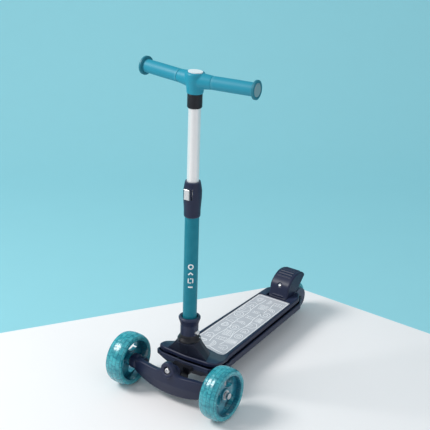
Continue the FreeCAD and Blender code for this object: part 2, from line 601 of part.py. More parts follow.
pivot_bush = ring(PIVOT_BUSH_R, AXLE_R + RUNNING_GAP, BOSS_TOP + 0.4, -9.0)
save("pivot_bush", on_pivot(pivot_bush))
pivot_washer = ring(7.8, AXLE_R + RUNNING_GAP, -9.0, -7.4)
save("pivot_washer", on_pivot(pivot_washer))
bolt_head = revolved([(0, -7), (6.4, -7), (6.4, -5), (4.6, -2.6), (0, -2.2)])
pivot_bolt = bolt_head.cut(hexagon(5, -4.6, 0)).fuse(cyl(AXLE_R, -72, -7)).removeSplitter()
save("pivot_bolt", on_pivot(pivot_bolt))
save("pivot_nut", on_pivot(hexagon(13, -66.5, -58.4).cut(cyl(AXLE_R, -90, 0))))
cushion = revolved([(AXLE_R + 0.5, BOSS_TOP - 4.9), (12.8, BOSS_TOP - 4.9),
                    (12.8, BOSS_TOP - 0.2), (10.5, BOSS_TOP), (AXLE_R + 0.5, BOSS_TOP)])
save("steering_cushion", on_pivot(cushion))

# ---------------------------------------------------------------- wheels
SPOKE_COUNT = 3


def tyre_profile(radius, inner, half):
    """Tyre section: rounded shoulders and a slightly crowned tread."""
    return [(inner, -half + 0.5), (inner + 2, -half), (radius - 7.5, -half),
            (radius - 3.5, -half + 1.2), (radius - 1.2, -half + 4), (radius - 0.3, -half + 9),
            (radius, 0), (radius - 0.3, half - 9), (radius - 1.2, half - 4),
            (radius - 3.5, half - 1.2), (radius - 7.5, half), (inner + 2, half),
            (inner, half - 0.5)]


def spoked_rim(radius, hub_r, barrel, half, web_z0, web_z1):
    """Barrel, hub and three broad spokes left standing between oval openings."""
    barrel_part = ring(radius, radius - barrel, -half, half)
    hub = cyl(hub_r, -12, 12)
    web = cyl(radius - barrel + 0.5, web_z0, web_z1)
    openings = []
    middle = (hub_r + radius - barrel) / 2
    for i in range(SPOKE_COUNT):
        oval = Part.Ellipse(V(0, 0, 0), middle * 0.60, (radius - barrel - hub_r) * 0.44)
        opening = Part.Face(Part.Wire(oval.toShape())).extrude(V(0, 0, 60))
        opening.translate(V(0, middle, -30))
        opening.rotate(V(0, 0, 0), V(0, 0, 1), -90 + i * 360 / SPOKE_COUNT)
        openings.append(opening)
    rim = barrel_part.multiFuse([hub, web]).cut(Part.makeCompound(openings))
    bearings = [cyl(BEARING_R, 5, 13), cyl(BEARING_R, -13, -5)]
    return rim.cut(Part.makeCompound(bearings + [cyl(8.5, -20, 20)])).removeSplitter()


def ball_bearing(z0):
    """Closed 608 bearing: two races with a shield groove between them."""
    body = ring(BEARING_R, BEARING_BORE_R + RUNNING_GAP, z0, z0 + BEARING_W)
    for shield_z in (z0 - 1, z0 + BEARING_W - 0.4):
        body = body.cut(ring(9.4, 6.2, shield_z, shield_z + 1.4))
    return body


def wheel_parts(radius, inner, half, barrel, hub_r, web):
    """Tyre, rim, pair of bearings and the spacer between them, in the wheel's frame."""
    return {
        "tyre": revolved(tyre_profile(radius, inner, half)),
        "rim": spoked_rim(inner, hub_r, barrel, half - 1.5, *web),
        "bearings": Part.makeCompound([ball_bearing(5), ball_bearing(-12)]),
        "bearing_spacer": ring(6.0, AXLE_R + RUNNING_GAP, -5, 5),
    }


RIM_R = 49.0
AXLE_NUT_IN = 13.8
axle_nuts = []
axle_washers = []
for name, side in (("left", 1), ("right", -1)):
    pieces = wheel_parts(FRONT_R, RIM_R, FRONT_W / 2, 3.0, 15.0, (0, 9))
    for piece in pieces:
        save("front_" + name + "_" + piece,
             on_wheel(pieces[piece], FRONT_X, FRONT_Y * side, FRONT_R, side))
    nut = hexagon(13, AXLE_NUT_IN, AXLE_NUT_IN + 6.5).cut(cyl(AXLE_R, 0, 40))
    washer = ring(8.0, AXLE_R, 12.4, AXLE_NUT_IN)
    axle_nuts.append(on_wheel(nut, FRONT_X, FRONT_Y * side, FRONT_R, side))
    axle_washers.append(on_wheel(washer, FRONT_X, FRONT_Y * side, FRONT_R, side))
save("front_axle_nuts", Part.makeCompound(axle_nuts))
save("front_axle_washers", Part.makeCompound(axle_washers))

rear_pieces = wheel_parts(REAR_R, 29.0, REAR_W / 2, 3.0, 14.0, (-4, 4))
for piece in rear_pieces:
    save("rear_" + piece, on_wheel(rear_pieces[piece], REAR_X, 0, REAR_R, 1))

# ---------------------------------------------------------------- rear fork and axle
ARM_OUTER_Y = ARM_INNER_Y + ARM_THICK
arm_plate = Part.makeCylinder(ARM_END_R, ARM_THICK, V(REAR_X, ARM_INNER_Y, REAR_R), V(0, 1, 0))
arm_beam = box(REAR_X, HINGE_X + 11, ARM_INNER_Y, ARM_OUTER_Y, DECK_BOTTOM + DECK_WALL + 0.1,
               REAR_R + ARM_END_R - 3)
arm = arm_plate.fuse(arm_beam).removeSplitter()
arm = arm.cut(box(DECK_REAR_X + 2, HINGE_X + 30, -60, 60, DECK_SEAM + 5, 120))
axle_way = cyl_y(AXLE_R, -60, 60, REAR_X, REAR_R)
pin_way = cyl_y(HINGE_PIN_R, -60, 60, HINGE_X, HINGE_Z)
cross_web = box(HINGE_X + 6, HINGE_X + 11, -ARM_INNER_Y, ARM_INNER_Y,
                DECK_BOTTOM + DECK_WALL + 0.1, DECK_SEAM - 6)
fork = arm.multiFuse([mirrored(arm), cross_web]).cut(axle_way).cut(pin_way).removeSplitter()
save("rear_fork", fork)
axle_spacers = [cyl_y(7.0, ARM_INNER_Y - 3.0, ARM_INNER_Y, REAR_X, REAR_R),
                cyl_y(7.0, -ARM_INNER_Y, -ARM_INNER_Y + 3.0, REAR_X, REAR_R)]
save("rear_axle_spacers", Part.makeCompound([s.cut(axle_way) for s in axle_spacers]))
rear_bolt = cyl_y(AXLE_R, -ARM_OUTER_Y - 7.5, ARM_OUTER_Y, REAR_X, REAR_R)
rear_head = placed(revolved([(0, 0), (7, 0), (7, 2), (5, 4.2), (0, 4.6)]).cut(hexagon(5, 2, 9)),
                   V(REAR_X, ARM_OUTER_Y, REAR_R), FreeCAD.Rotation(V(1, 0, 0), -90))
save("rear_axle_bolt", rear_bolt.fuse(rear_head).removeSplitter())
rear_nut = placed(hexagon(13, 0, 6.5).cut(cyl(AXLE_R, -5, 40)),
                  V(REAR_X, -ARM_OUTER_Y, REAR_R), FreeCAD.Rotation(V(1, 0, 0), 90))
save("rear_axle_nut", rear_nut)

# ---------------------------------------------------------------- rear brake
FENDER_WALL = 4.0
fender_top = [V(x, 0, z) for x, z in (
    (-186, 66), (-192, 80), (-197, 97), (-211, 109.5), (-231, 117.5), (-251, 116.5),
    (-265, 110.5), (-271, 104))]
fender_low = [V(x, 0, z) for x, z in ((-257, 92), (-243, 78), (-228, 70), (-202, 67))]
fender_face = smooth_face(fender_top, fender_low)
fender = fender_face.extrude(V(0, 2 * FENDER_HALF, 0))
fender.translate(V(0, -FENDER_HALF, 0))
crown_edges = [e for e in fender.Edges if abs(abs(edge_middle(e).y) - FENDER_HALF) < 0.1
               and edge_middle(e).z > 108]
fender = fender.makeFillet(4.0, crown_edges)
inner_top = [V(x, 0, z) for x, z in (
    (-191, 58), (-197, 79), (-201.5, 94.5), (-213.5, 105), (-231.5, 112.8), (-250, 112),
    (-262.5, 106.5), (-268, 99))]
inner_low = [V(-264, 0, 70), V(-235, 0, 56), V(-205, 0, 50)]
hollow = smooth_face(inner_top, inner_low).extrude(V(0, 2 * FENDER_HALF - 2 * FENDER_WALL, 0))
hollow.translate(V(0, -FENDER_HALF + FENDER_WALL, 0))
fender = fender.cut(hollow)
RIDGES = 6
ridge_line = Part.BSplineCurve()
ridge_line.interpolate(fender_top)
ridges = []
for i in range(RIDGES):
    spot = ridge_line.value(ridge_line.LastParameter * (0.50 + 0.07 * i))
    ridges.append(cyl_y(2.2, -19, 19, spot.x, spot.z - 0.7))
fender = fender.multiFuse(ridges)
SCREW_TILT = 55.0              # the fender screw leans forward from upright
screw_seat = V(-198.2, 0, 95.5)
screw_turn = FreeCAD.Rotation(V(0, 1, 0), SCREW_TILT)
screw_dish = placed(cyl(6.2, 0, 20), screw_seat, screw_turn)
fender_screw = placed(pan_screw(4.2, 1.8, 12, 2.2), screw_seat, screw_turn)
fender = fender.cut(screw_dish)
LUG_HALF = ARM_INNER_Y - MOVING_GAP
lug = cyl_y(6.0, -LUG_HALF, LUG_HALF, HINGE_X, HINGE_Z)
lug = lug.fuse(prism_xz([(HINGE_X - 5, HINGE_Z), (HINGE_X + 5, HINGE_Z), (-187.5, 72),
                         (-197.5, 74)], LUG_HALF))
SPRING_HALF = 8.0
spring_room = cyl_y(7.5, -SPRING_HALF, SPRING_HALF, HINGE_X, HINGE_Z)
fender = fender.fuse(lug.cut(spring_room)).cut(cyl_y(HINGE_PIN_R + RUNNING_GAP, -60, 60,
                                                     HINGE_X, HINGE_Z))
PAD_GAP = 12.0
pad_curve = cyl_y(REAR_R + PAD_GAP, -40, 40, REAR_X, REAR_R)
pad = prism_xz([(-222, 88), (-226, 108), (-232, 112), (-250, 111), (-262, 106), (-264, 86)], 9)
pad = pad.cut(pad_curve).cut(fender)
save("brake_pad", max(pad.Solids, key=lambda s: s.Volume))
save("brake_fender", fender.cut(pad).cut(fender_screw).removeSplitter())
save("fender_screw", fender_screw)
hinge_pin = cyl_y(HINGE_PIN_R, -ARM_OUTER_Y + 0.3, ARM_OUTER_Y - 0.3, HINGE_X, HINGE_Z)
save("brake_hinge_pin", hinge_pin)
coil_places = [-6, -3.6, -1.2, 1.2, 3.6, 6]
coils = [Part.makeTorus(4.4, 0.7, V(HINGE_X, y, HINGE_Z), V(0, 1, 0)) for y in coil_places]
save("brake_spring", Part.makeCompound(coils))
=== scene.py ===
# %% [markdown]
# # A child's three-wheeled scooter
# The scooter stands on a white platform. Its structure comes in ready made from the packed
# frame: every tube, shell, bolt and bearing is already in place.
# This notebook gives those pieces their finishes, and remakes the few whose surfaces are
# softer or busier than the frame's plain solids. It works from the frame's own boxes,
# so nothing has to be fitted by eye.

# %% Load the frame
import json
import math
import random

import bmesh
import bpy
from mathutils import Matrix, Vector


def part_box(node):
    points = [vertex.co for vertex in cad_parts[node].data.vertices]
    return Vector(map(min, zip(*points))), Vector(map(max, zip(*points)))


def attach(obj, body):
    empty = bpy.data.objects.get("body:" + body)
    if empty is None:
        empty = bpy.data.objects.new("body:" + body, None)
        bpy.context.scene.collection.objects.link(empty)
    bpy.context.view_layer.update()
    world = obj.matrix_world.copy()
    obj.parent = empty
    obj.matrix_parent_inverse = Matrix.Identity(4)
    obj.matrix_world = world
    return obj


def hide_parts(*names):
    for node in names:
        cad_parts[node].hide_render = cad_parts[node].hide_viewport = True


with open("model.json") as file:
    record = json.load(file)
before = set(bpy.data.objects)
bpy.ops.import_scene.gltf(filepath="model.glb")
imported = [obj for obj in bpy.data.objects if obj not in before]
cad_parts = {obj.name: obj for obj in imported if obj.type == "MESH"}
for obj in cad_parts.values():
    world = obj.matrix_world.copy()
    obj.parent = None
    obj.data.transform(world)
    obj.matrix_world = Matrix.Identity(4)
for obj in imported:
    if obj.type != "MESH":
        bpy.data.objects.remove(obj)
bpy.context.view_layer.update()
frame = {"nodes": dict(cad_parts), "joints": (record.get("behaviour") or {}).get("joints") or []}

nodes = frame["nodes"]
joint_axis = {joint["name"]: Vector(joint["axis"]) for joint in frame["joints"]}


# %% [markdown]
# ## Measuring from the frame
# A piece is placed by the box of the frame's piece that it belongs to. Two small helpers
# give a box's middle and its size, so that later cells read like sentences.

# %% Box helpers
def middle(node):
    low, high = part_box(node)
    return (Vector(low) + Vector(high)) / 2


def extent(node):
    low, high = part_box(node)
    return Vector(high) - Vector(low)


MM = 0.001
COLUMN_UP = joint_axis["handlebar_height"].normalized()
column_point = middle("lower_tube")
mat_low, mat_high = (Vector(corner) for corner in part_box("deck_grip_mat"))
print("column passes", [round(v, 3) for v in column_point],
      "leaning", [round(v, 3) for v in COLUMN_UP])
print("grip mat", [round(v / MM) for v in extent("deck_grip_mat")], "mm")


# %% [markdown]
# ## Node wiring
# A finish is a small network of shader nodes. Wiring them by hand takes a dozen lines
# each time, so one helper adds a node and sets or links its inputs in a single call. An
# input given as a socket is linked, and any other value is set.

# %% One call per node
def add(tree, kind, inputs=None, **settings):
    node = tree.nodes.new(kind)
    for name, value in settings.items():
        setattr(node, name, value)
    for key, value in (inputs or {}).items():
        if isinstance(value, bpy.types.NodeSocket):
            tree.links.new(value, node.inputs[key])
        else:
            node.inputs[key].default_value = value
    return node


def math_node(tree, operation, first, second=0.0, third=0.0):
    return add(tree, "ShaderNodeMath", {0: first, 1: second, 2: third},
               operation=operation).outputs[0]


def new_group(name, sockets_in, sockets_out):
    """Empty shader group with named number, colour or vector sockets."""
    group = bpy.data.node_groups.new(name, "ShaderNodeTree")
    kinds = {"number": "NodeSocketFloat", "colour": "NodeSocketColor", "vector": "NodeSocketVector"}
    for socket, (kind, value) in sockets_in.items():
        made = group.interface.new_socket(socket, in_out="INPUT", socket_type=kinds[kind])
        if value is not None:
            made.default_value = value
    for socket, kind in sockets_out.items():
        group.interface.new_socket(socket, in_out="OUTPUT", socket_type=kinds[kind])
    return group, group.nodes.new("NodeGroupInput"), group.nodes.new("NodeGroupOutput")


# %% [markdown]
# ## Effect: moulded grain
# Plastic parts come out of a spark-eroded mould, which leaves a fine even grain. It could
# be an image, but noise in object space has no seams and keeps one grain size on every
# piece. The group gives a height for the bump, and a roughness that varies with it.

# %% Moulded grain group
grain_group, g_in, g_out = new_group(
    "moulded grain",
    {"Size": ("number", 900.0), "Roughness": ("number", 0.45), "Variation": ("number", 0.12)},
    {"Height": "number", "Roughness": "number"})
where = add(grain_group, "ShaderNodeTexCoord").outputs["Object"]
fine = add(grain_group, "ShaderNodeTexNoise",
           {"Vector": where, "Scale": g_in.outputs["Size"], "Detail": 3.0})
broad = add(grain_group, "ShaderNodeTexNoise", {"Vector": where, "Scale": 22.0, "Detail": 4.0})
uneven = math_node(grain_group, "SUBTRACT", broad.outputs["Fac"], 0.5)
spread = math_node(grain_group, "MULTIPLY_ADD", uneven, g_in.outputs["Variation"],
                   g_in.outputs["Roughness"])
grain_group.links.new(fine.outputs["Fac"], g_out.inputs["Height"])
grain_group.links.new(spread, g_out.inputs["Roughness"])
print("group:", grain_group.name)

# %% [markdown]
# ## Effect: paler edges, partly a painted highlight
# Edges that stand out are painted paler. This is mostly a painted highlight, standing for the light
# that edges catch, and partly rubbing where hands, shoes and floors touch. The Geometry node's
# pointiness tells how far a place stands out, and a little noise breaks the line up so
# that the pale edge isn't drawn with a ruler.

# %% Pale edge group: painted highlight and rubbing
wear_and_highlight_group, w_in, w_out = new_group(
    "rubbed edges and painted highlight",
    {"Amount": ("number", 0.5), "Colour": ("colour", (0.1, 0.1, 0.1, 1)),
     "Rubbed and Highlight Colour": ("colour", (0.4, 0.4, 0.4, 1))},
    {"Colour": "colour"})
point = add(wear_and_highlight_group, "ShaderNodeNewGeometry").outputs["Pointiness"]
where = add(wear_and_highlight_group, "ShaderNodeTexCoord").outputs["Object"]
patchy = add(wear_and_highlight_group, "ShaderNodeTexNoise", {"Vector": where, "Scale": 60.0, "Detail": 5.0})
# Painted highlight: places that stand out are painted toward the pale colour, with a little
# rubbing.
standing = add(wear_and_highlight_group, "ShaderNodeMapRange",
               {"Value": point, "From Min": 0.52, "From Max": 0.60})
broken = math_node(wear_and_highlight_group, "MULTIPLY", standing.outputs["Result"], patchy.outputs["Fac"])
highlight_and_rubbing_mask = math_node(wear_and_highlight_group, "MULTIPLY", broken, w_in.outputs["Amount"])
highlit_and_rubbed_colour = add(wear_and_highlight_group, "ShaderNodeMix", {"Factor": highlight_and_rubbing_mask}, data_type="RGBA")
wear_and_highlight_group.links.new(w_in.outputs["Colour"], highlit_and_rubbed_colour.inputs[6])
wear_and_highlight_group.links.new(w_in.outputs["Rubbed and Highlight Colour"], highlit_and_rubbed_colour.inputs[7])
wear_and_highlight_group.links.new(highlit_and_rubbed_colour.outputs[2], w_out.inputs["Colour"])
print("group:", wear_and_highlight_group.name)

# %% [markdown]
# ## Effect: handling and dust
# Nothing used is one colour all over. Broad soft clouds shift a surface's colour a few
# percent, and small specks stand for dust. Both are kept faint: this scooter is new.

# %% Handling group
tone_group, t_in, t_out = new_group(
    "handling and dust",
    {"Colour": ("colour", (0.5, 0.5, 0.5, 1)), "Cloud": ("number", 0.08),
     "Dust": ("number", 0.03)},
    {"Colour": "colour"})
where = add(tone_group, "ShaderNodeTexCoord").outputs["Object"]
cloud = add(tone_group, "ShaderNodeTexNoise", {"Vector": where, "Scale": 9.0, "Detail": 3.0})
shift = math_node(tone_group, "SUBTRACT", cloud.outputs["Fac"], 0.5)
value = math_node(tone_group, "MULTIPLY_ADD", shift, t_in.outputs["Cloud"], 1.0)
toned = add(tone_group, "ShaderNodeHueSaturation",
            {"Color": t_in.outputs["Colour"], "Value": value})
speck = add(tone_group, "ShaderNodeTexVoronoi", {"Vector": where, "Scale": 420.0})
near = add(tone_group, "ShaderNodeMapRange",
           {"Value": speck.outputs["Distance"], "From Min": 0.16, "From Max": 0.05})
dusty = math_node(tone_group, "MULTIPLY", near.outputs["Result"], t_in.outputs["Dust"])
dusted = add(tone_group, "ShaderNodeMix", {"Factor": dusty, 7: (0.75, 0.75, 0.73, 1)},
             data_type="RGBA")
tone_group.links.new(toned.outputs["Color"], dusted.inputs[6])
tone_group.links.new(dusted.outputs[2], t_out.inputs["Colour"])
print("group:", tone_group.name)

# %% [markdown]
# ## Effect: brushed metal
# Turned and drawn metal has fine lines along one direction. Stretching noise along an
# axis gives them: the group's Stretch vector squeezes the pattern across the lines.

# %% Brushed metal group
brush_group, b_in, b_out = new_group(
    "brushed lines",
    {"Stretch": ("vector", (1.0, 1.0, 0.02)), "Roughness": ("number", 0.3)},
    {"Height": "number", "Roughness": "number"})
where = add(brush_group, "ShaderNodeTexCoord").outputs["Object"]
drawn = add(brush_group, "ShaderNodeVectorMath", {0: where, 1: b_in.outputs["Stretch"]},
            operation="MULTIPLY")
lines = add(brush_group, "ShaderNodeTexNoise",
            {"Vector": drawn.outputs[0], "Scale": 1400.0, "Detail": 2.0})
swing = math_node(brush_group, "SUBTRACT", lines.outputs["Fac"], 0.5)
rough = math_node(brush_group, "MULTIPLY_ADD", swing, 0.25, b_in.outputs["Roughness"])
brush_group.links.new(lines.outputs["Fac"], b_out.inputs["Height"])
brush_group.links.new(rough, b_out.inputs["Roughness"])
print("group:", brush_group.name)


# %% [markdown]
# ## The finishes
# Most pieces share one recipe: a base colour that goes through handling and through paler
# edges, which are partly a painted highlight and partly rubbing, and a grain that feeds
# roughness and a bump. What differs is the numbers, so the recipe is a function. Values
# that are the same all over a piece, such as coat or sheen, are set on the shader itself.

# %% Recipe for plastics, paint and rubber
def use_group(tree, group, inputs):
    return add(tree, "ShaderNodeGroup", inputs, node_tree=group)


def new_material(name):
    material = bpy.data.materials.new(name)
    material.use_nodes = True
    tree = material.node_tree
    return material, tree, tree.nodes["Principled BSDF"]


def moulded(name, colour, roughness, rubbed_and_highlight_colour, grain=900.0, depth=0.06, rubbed_and_highlight_amount=0.5, cloud=0.08,
            dust=0.03, **shader):
    """Moulded, painted or rubber surface; extra words set the shader's own sockets."""
    material, tree, surface = new_material(name)
    tone = use_group(tree, tone_group, {"Colour": (*colour, 1), "Cloud": cloud, "Dust": dust})
    # Standing-out edges take the second colour: a painted highlight, partly rubbing.
    edges = use_group(tree, wear_and_highlight_group, {"Colour": tone.outputs["Colour"], "Amount": rubbed_and_highlight_amount,
                                         "Rubbed and Highlight Colour": (*rubbed_and_highlight_colour, 1)})
    surface_grain = use_group(tree, grain_group, {"Size": grain, "Roughness": roughness})
    bump = add(tree, "ShaderNodeBump", {"Height": surface_grain.outputs["Height"],
                                        "Strength": depth, "Distance": 0.0004})
    tree.links.new(edges.outputs["Colour"], surface.inputs["Base Color"])
    tree.links.new(surface_grain.outputs["Roughness"], surface.inputs["Roughness"])
    tree.links.new(bump.outputs["Normal"], surface.inputs["Normal"])
    for socket, value in shader.items():
        surface.inputs[socket.replace("_", " ")].default_value = value
    return material


def bright_metal(name, colour, roughness, stretch, depth=0.05):
    """Bare metal with drawn or turned lines."""
    material, tree, surface = new_material(name)
    tone = use_group(tree, tone_group, {"Colour": (*colour, 1), "Cloud": 0.15, "Dust": 0.02})
    lines = use_group(tree, brush_group, {"Stretch": stretch, "Roughness": roughness})
    bump = add(tree, "ShaderNodeBump", {"Height": lines.outputs["Height"], "Strength": depth,
                                        "Distance": 0.0003})
    tree.links.new(tone.outputs["Colour"], surface.inputs["Base Color"])
    tree.links.new(lines.outputs["Roughness"], surface.inputs["Roughness"])
    tree.links.new(bump.outputs["Normal"], surface.inputs["Normal"])
    surface.inputs["Metallic"].default_value = 1.0
    return material


# %% Mix the finishes
# Each finish's second colour is painted on its standing-out edges: mostly a painted highlight,
# partly rubbing.
navy = moulded("navy moulding", (0.012, 0.018, 0.049), 0.40, (0.12, 0.15, 0.23), rubbed_and_highlight_amount=0.6,
               Specular_IOR_Level=0.32)
navy_grained = moulded("grained navy moulding", (0.010, 0.014, 0.030), 0.52,
                       (0.09, 0.10, 0.14), grain=520.0, depth=0.35, Specular_IOR_Level=0.3)
black = moulded("black moulding", (0.005, 0.006, 0.010), 0.38, (0.06, 0.06, 0.07),
                Specular_IOR_Level=0.3)
tube_teal = moulded("teal tube paint", (0.003, 0.160, 0.225), 0.30, (0.06, 0.36, 0.44),
                    grain=300.0, depth=0.02, rubbed_and_highlight_amount=0.3, Specular_IOR_Level=0.15)
bar_teal = moulded("teal bar moulding", (0.012, 0.270, 0.385), 0.42, (0.12, 0.44, 0.54),
                   grain=700.0, depth=0.05, Specular_IOR_Level=0.35)
grip_teal = moulded("teal grip rubber", (0.014, 0.262, 0.375), 0.50, (0.12, 0.40, 0.50),
                    grain=650.0, depth=0.15, Specular_IOR_Level=0.35)
flange_teal = moulded("deep teal flange", (0.004, 0.150, 0.215), 0.45, (0.08, 0.34, 0.42),
                      grain=650.0, depth=0.12, Specular_IOR_Level=0.3)
tube_white = moulded("white anodised tube", (0.80, 0.80, 0.80), 0.32, (0.9, 0.9, 0.9),
                     grain=500.0, depth=0.02, cloud=0.04, Metallic=0.35)
badge_white = moulded("white badge", (0.84, 0.85, 0.86), 0.25, (0.9, 0.9, 0.9),
                      grain=400.0, depth=0.02, Coat_Weight=0.4)
nylon = moulded("natural nylon", (0.62, 0.61, 0.56), 0.5, (0.7, 0.7, 0.66), grain=500.0)
elastomer = moulded("black elastomer", (0.02, 0.02, 0.02), 0.7, (0.08, 0.08, 0.08),
                    grain=600.0, depth=0.2)
cap_metal = bright_metal("brushed end cap", (0.46, 0.46, 0.47), 0.36, (0.03, 1.0, 1.0), 0.15)
zinc = bright_metal("zinc plated steel", (0.66, 0.66, 0.68), 0.28, (1.0, 0.05, 1.0))
chrome = bright_metal("bright button", (0.62, 0.63, 0.64), 0.30, (1.0, 1.0, 0.1), 0.12)
print("finishes:", len(bpy.data.materials))


# %% [markdown]
# ## Tinted urethane tyres
# The tyres are clear tinted urethane with a fine grid moulded under the surface. Real
# refraction would be slow and noisy here, so the depth comes from a little subsurface
# light and a clear coat, while the grid is a pattern in the wheel's own angle and width.
# The pattern is worked out from object space around each wheel's centre.

# %% Tyre finish
def tinted_urethane(name, centre, radius, colour, deep, pale):
    material, tree, surface = new_material(name)
    where = add(tree, "ShaderNodeTexCoord").outputs["Object"]
    local = add(tree, "ShaderNodeVectorMath", {0: where, 1: centre}, operation="SUBTRACT")
    parts = add(tree, "ShaderNodeSeparateXYZ", {0: local.outputs[0]})
    angle = math_node(tree, "ARCTAN2", parts.outputs["Z"], parts.outputs["X"])
    around = math_node(tree, "MULTIPLY", angle, radius)
    flat = add(tree, "ShaderNodeCombineXYZ", {"X": around, "Y": parts.outputs["Y"]})
    grid = add(tree, "ShaderNodeTexBrick", {
        "Vector": flat.outputs[0], "Scale": 1.0, "Mortar Size": 0.0007, "Mortar Smooth": 0.6,
        "Brick Width": 0.0190, "Row Height": 0.0094, "Color1": (1, 1, 1, 1),
        "Color2": (0.72, 0.72, 0.72, 1), "Mortar": (0, 0, 0, 1)})
    mottle = add(tree, "ShaderNodeTexNoise", {"Vector": where, "Scale": 95.0, "Detail": 5.0,
                                                 "Distortion": 0.8})
    contrast = add(tree, "ShaderNodeMapRange",
                   {"Value": mottle.outputs["Fac"], "From Min": 0.34, "From Max": 0.66})
    body = add(tree, "ShaderNodeMix", {"Factor": contrast.outputs["Result"], 6: (*colour, 1),
                                       7: (*pale, 1)}, data_type="RGBA")
    line = math_node(tree, "MULTIPLY", grid.outputs["Fac"], 0.70)
    lined = add(tree, "ShaderNodeMix", {"Factor": line, 6: body.outputs[2],
                                        7: (*deep, 1)}, data_type="RGBA")
    # The tyre's standing-out groove edges and shoulders are painted pale: mostly a painted
    # highlight, partly scuffing.
    edges = use_group(tree, wear_and_highlight_group, {"Colour": lined.outputs[2], "Amount": 0.9,
                                         "Rubbed and Highlight Colour": (*pale, 1)})
    surface_grain = use_group(tree, grain_group, {"Size": 260.0, "Roughness": 0.2})
    bump = add(tree, "ShaderNodeBump", {"Height": surface_grain.outputs["Height"],
                                        "Strength": 0.05, "Distance": 0.0006})
    tree.links.new(edges.outputs["Colour"], surface.inputs["Base Color"])
    tree.links.new(surface_grain.outputs["Roughness"], surface.inputs["Roughness"])
    tree.links.new(bump.outputs["Normal"], surface.inputs["Normal"])
    surface.inputs["Subsurface Weight"].default_value = 0.35
    surface.inputs["Subsurface Radius"].default_value = (0.002, 0.006, 0.007)
    surface.inputs["Coat Weight"].default_value = 0.35
    surface.inputs["Coat Roughness"].default_value = 0.14
    return material


WHEELS = {"front_left": "front_left_wheel", "front_right": "front_right_wheel",
          "rear": "rear_wheel"}
tyre_finish = {}
for wheel in WHEELS:
    tyre_finish[wheel] = tinted_urethane(
        wheel + " tyre urethane", middle(wheel + "_tyre"), extent(wheel + "_tyre").z / 2,
        (0.004, 0.215, 0.280), (0.002, 0.075, 0.110), (0.060, 0.430, 0.490))
# The rim takes the full pale edge: a painted highlight on its spokes and edges, partly rubbing.
rim_teal = moulded("clear teal rim", (0.002, 0.105, 0.170), 0.20, (0.06, 0.42, 0.50),
                   grain=300.0, depth=0.02, rubbed_and_highlight_amount=1.0, Coat_Weight=0.4, Coat_Roughness=0.08)
print("tyre finishes:", len(tyre_finish))

# %% [markdown]
# ## The grip mat's sheet
# The mat is a thin printed sheet with a sanded surface: a cool light grey, slightly
# mottled, rough enough that it never shines. The print itself is laid on later as real
# thin strips, because lines drawn in a shader turn ragged at a distance.

# %% Mat finishes
mat_grey = moulded("grey grip sheet", (0.47, 0.485, 0.525), 0.72, (0.5, 0.52, 0.55),
                   grain=1500.0, depth=0.5, cloud=0.22, dust=0.10)
print_white = moulded("white mat print", (0.90, 0.91, 0.93), 0.62, (0.85, 0.85, 0.87),
                      grain=1300.0, depth=0.25, cloud=0.06)
mark_white = moulded("white tube print", (0.80, 0.82, 0.83), 0.38, (0.85, 0.85, 0.87),
                     grain=600.0, depth=0.03, cloud=0.04)


# %% [markdown]
# ## Finishes onto the frame's pieces
# The frame's pieces keep their shape. Each gets its finish in every material slot. The
# larger ones that show also get a hair-thin bevel, so that their edges catch the light as
# moulded and machined edges do.

# %% Dress the frame
def soften_edges(obj, width):
    bevel = obj.modifiers.new("edge radius", "BEVEL")
    bevel.width = width
    bevel.segments = 2
    bevel.limit_method = "ANGLE"
    bevel.angle_limit = math.radians(48)
    bevel.harden_normals = True


def dress(obj, material):
    if not obj.data.materials:
        obj.data.materials.append(material)
    for index in range(len(obj.data.materials)):
        obj.data.materials[index] = material


FINISH = {
    navy: "deck_lower_shell deck_upper_shell column_socket height_clamp front_bridge "
          "rear_fork brake_fender",
    navy_grained: "column_housing",
    black: "kingpin_block housing_ring pivot_washer rear_axle_bolt rear_axle_nut "
           "bar_collar",
    mat_grey: "deck_grip_mat",
    tube_teal: "lower_tube",
    tube_white: "upper_tube",
    bar_teal: "t_bar",
    grip_teal: "left_grip right_grip",
    flange_teal: "left_grip_flange right_grip_flange",
    cap_metal: "left_end_cap right_end_cap",
    badge_white: "top_badge",
    rim_teal: "front_left_rim front_right_rim rear_rim",
    chrome: "height_key socket_button",
    nylon: "button_seat tube_top_bush tube_foot_bush tube_foot_plug pivot_bush",
    elastomer: "steering_cushion brake_pad",
}
finish_of = {node: material for material, names in FINISH.items() for node in names.split()}
for wheel in WHEELS:
    finish_of[wheel + "_tyre"] = tyre_finish[wheel]
for node, obj in nodes.items():
    dress(obj, finish_of.get(node, zinc))
plain_steel = [node for node in nodes if node not in finish_of]
print("steel pieces:", len(plain_steel), "others:", len(finish_of))

# %% Fine edges
FINE_EDGES = {"deck_upper_shell": 0.6, "deck_lower_shell": 0.6, "column_socket": 0.5,
              "height_clamp": 0.5, "rear_fork": 0.8, "kingpin_block": 0.6,
              "height_key": 0.4, "bar_collar": 0.4, "front_left_rim": 0.7,
              "front_right_rim": 0.7, "rear_rim": 0.6}
for node, width in FINE_EDGES.items():
    soften_edges(nodes[node], width * MM)
print("softened:", ", ".join(FINE_EDGES))


# %% [markdown]
# ## New pieces
# Every remade piece is an object in the scene, and most are drawn cell by cell first. Two
# helpers keep those steps out of the cells that follow.

# %% Object and mesh helpers
def linked_object(name, data):
    obj = bpy.data.objects.new(name, data)
    bpy.context.scene.collection.objects.link(obj)
    return obj


def mesh_from(shape, name):
    mesh = bpy.data.meshes.new(name)
    shape.to_mesh(mesh)
    shape.free()
    return mesh


# %% [markdown]
# ## Moulded blends
# The bridge, the housing, the bar and the brake have generous blends where their masses
# meet. Modelling each fillet is slow and fragile. Instead a copy of the frame's piece is
# remeshed into small even cells and its vertices are relaxed: flat faces stay flat, and
# every edge melts into a radius of a few cells.

